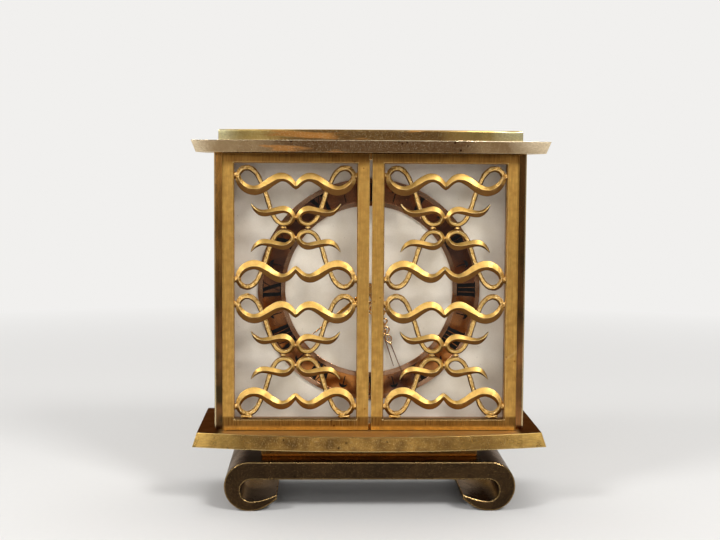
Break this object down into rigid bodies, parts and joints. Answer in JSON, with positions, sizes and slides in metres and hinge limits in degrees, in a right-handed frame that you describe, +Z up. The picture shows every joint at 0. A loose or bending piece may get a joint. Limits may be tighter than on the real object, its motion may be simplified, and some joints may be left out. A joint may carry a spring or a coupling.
{
  "type": "table clock",
  "caption": "Brass table clock on a scroll-footed stand, with bow-fronted plates, two pierced scrollwork doors over a recessed cream dial, and an alarm hand.",
  "frame": {"origin": "middle of the footprint's bounding box, on the surface that the clock stands on", "axes": "+Z up, +X to the viewer's right, +Y from the doors to the back, so the front faces -Y"},
  "size_m": [0.18, 0.082, 0.1918],
  "materials": {
    "satin_brass": "satin golden brass, brushed, lightly mottled",
    "gilt_brass": "polished gilt brass",
    "dark_brass": "dark polished brass with bright outer edges",
    "aged_brass": "aged polished brass with fine scratches and spots",
    "bronze_brown": "dark bronzed brass with bright chamfered edges",
    "copper_brown": "polished copper-brown lacquered brass",
    "cream_dial": "matt warm cream paint",
    "movement_brass": "fine-grained movement brass",
    "polished_steel": "polished steel"
  },
  "bodies": {
    "case": {"scroll_stand": "bronze_brown", "spacer_plinth": "satin_brass", "base_plate": "aged_brass", "top_plate": "aged_brass", "top_slab": "aged_brass", "stand_screws": "polished_steel", "slab_screws": "polished_steel", "tie_rods": "polished_steel", "tie_rod_nuts": "aged_brass", "case_side_left": "dark_brass", "case_side_right": "dark_brass", "case_front_frame": "dark_brass", "dial_surround": "copper_brown", "rear_panel": "aged_brass", "rear_cover": "aged_brass", "rear_cover_screws": "polished_steel", "rear_panel_screws": "polished_steel", "dial_rods": "polished_steel", "dial_plate": "cream_dial", "chapter_ring": "copper_brown", "dial_feet": "movement_brass", "movement_front_plate": "movement_brass", "movement_back_plate": "movement_brass", "movement_pillars": "movement_brass", "minute_wheel_post": "polished_steel", "alarm_barrel": "movement_brass", "escapement_platform": "movement_brass", "strike_post": "movement_brass"},
    "left_door": {"left_door_frame": "satin_brass", "left_hinge_pins": "satin_brass", "left_scrollwork": "gilt_brass"},
    "right_door": {"right_door_frame": "satin_brass", "right_hinge_pins": "satin_brass", "right_scrollwork": "gilt_brass"},
    "minute_hand_set": {"minute_hand": "gilt_brass", "hand_nut": "gilt_brass", "centre_arbor": "polished_steel", "hand_setting_knob": "aged_brass"},
    "hour_hand_set": {"hour_hand": "gilt_brass", "hour_wheel": "movement_brass"},
    "minute_wheel_set": {"minute_wheel": "movement_brass"},
    "alarm_hand_set": {"alarm_hand": "gilt_brass", "alarm_wheel": "movement_brass"},
    "alarm_setting_set": {"alarm_setting_arbor": "polished_steel", "alarm_setting_knob": "aged_brass"},
    "intermediate_wheel_set": {"intermediate_wheel": "movement_brass"},
    "going_barrel_set": {"going_barrel": "movement_brass"},
    "winding_set": {"winding_arbor": "polished_steel", "winding_key": "aged_brass"},
    "alarm_winding_set": {"alarm_winding_arbor": "polished_steel", "alarm_winding_key": "aged_brass"},
    "balance_set": {"balance_wheel": "movement_brass"},
    "hammer_set": {"alarm_hammer": "polished_steel"},
    "alarm_stop_set": {"alarm_stop_button": "aged_brass"}
  },
  "joints": [
    {"name": "left_door_hinge", "type": "hinge", "parent": "case", "child": "left_door", "pos_m": [-0.0736, -0.021, 0.1094], "axis": [0, 0, -1], "range_deg": [0, 115]},
    {"name": "right_door_hinge", "type": "hinge", "parent": "case", "child": "right_door", "pos_m": [0.0736, -0.021, 0.1094], "axis": [0, 0, 1], "range_deg": [0, 115]},
    {"name": "minute_hand_turn", "type": "hinge", "parent": "case", "child": "minute_hand_set", "pos_m": [0, 0.01, 0.1094], "axis": [0, 1, 0], "continuous": true},
    {"name": "hour_hand_turn", "type": "hinge", "parent": "case", "child": "hour_hand_set", "pos_m": [0, 0.01, 0.1094], "axis": [0, 1, 0], "continuous": true},
    {"name": "minute_wheel_turn", "type": "hinge", "parent": "case", "child": "minute_wheel_set", "pos_m": [0.006, 0.01, 0.09901], "axis": [0, 1, 0], "continuous": true},
    {"name": "alarm_hand_turn", "type": "hinge", "parent": "case", "child": "alarm_hand_set", "pos_m": [0, 0.01, 0.1094], "axis": [0, 1, 0], "continuous": true},
    {"name": "alarm_setting_turn", "type": "hinge", "parent": "case", "child": "alarm_setting_set", "pos_m": [-0.01039, 0.01, 0.1154], "axis": [0, 1, 0], "continuous": true},
    {"name": "intermediate_wheel_turn", "type": "hinge", "parent": "case", "child": "intermediate_wheel_set", "pos_m": [-0.0049, 0.01, 0.10091], "axis": [0, 1, 0], "continuous": true},
    {"name": "going_barrel_turn", "type": "hinge", "parent": "case", "child": "going_barrel_set", "pos_m": [-0.01551, 0.01, 0.1045], "axis": [0, 1, 0], "continuous": true},
    {"name": "winding_turn", "type": "hinge", "parent": "case", "child": "winding_set", "pos_m": [-0.01551, 0.01, 0.1045], "axis": [0, 1, 0], "continuous": true},
    {"name": "alarm_winding_turn", "type": "hinge", "parent": "case", "child": "alarm_winding_set", "pos_m": [0.0155, 0.01, 0.1034], "axis": [0, 1, 0], "continuous": true},
    {"name": "balance_swing", "type": "hinge", "parent": "case", "child": "balance_set", "pos_m": [0.006, 0.018, 0.1254], "axis": [0, 1, 0], "range_deg": [-220, 220], "stiffness_Nm_per_rad": 0.00001},
    {"name": "hammer_swing", "type": "hinge", "parent": "case", "child": "hammer_set", "pos_m": [0.019, 0.015, 0.1184], "axis": [0, 1, 0], "range_deg": [0, 8], "stiffness_Nm_per_rad": 0.01},
    {"name": "alarm_stop_push", "type": "slide", "parent": "case", "child": "alarm_stop_set", "axis": [0, -1, 0], "range_m": [0, 0.0025]}
  ],
  "couplings": [
    {"joint": "hour_hand_turn", "follows": "minute_hand_turn", "ratio": 0.083333},
    {"joint": "minute_wheel_turn", "follows": "minute_hand_turn", "ratio": -0.33333},
    {"joint": "intermediate_wheel_turn", "follows": "minute_hand_turn", "ratio": -0.16667},
    {"joint": "going_barrel_turn", "follows": "minute_hand_turn", "ratio": 0.027778},
    {"joint": "alarm_setting_turn", "follows": "alarm_hand_turn", "ratio": -3}
  ]
}
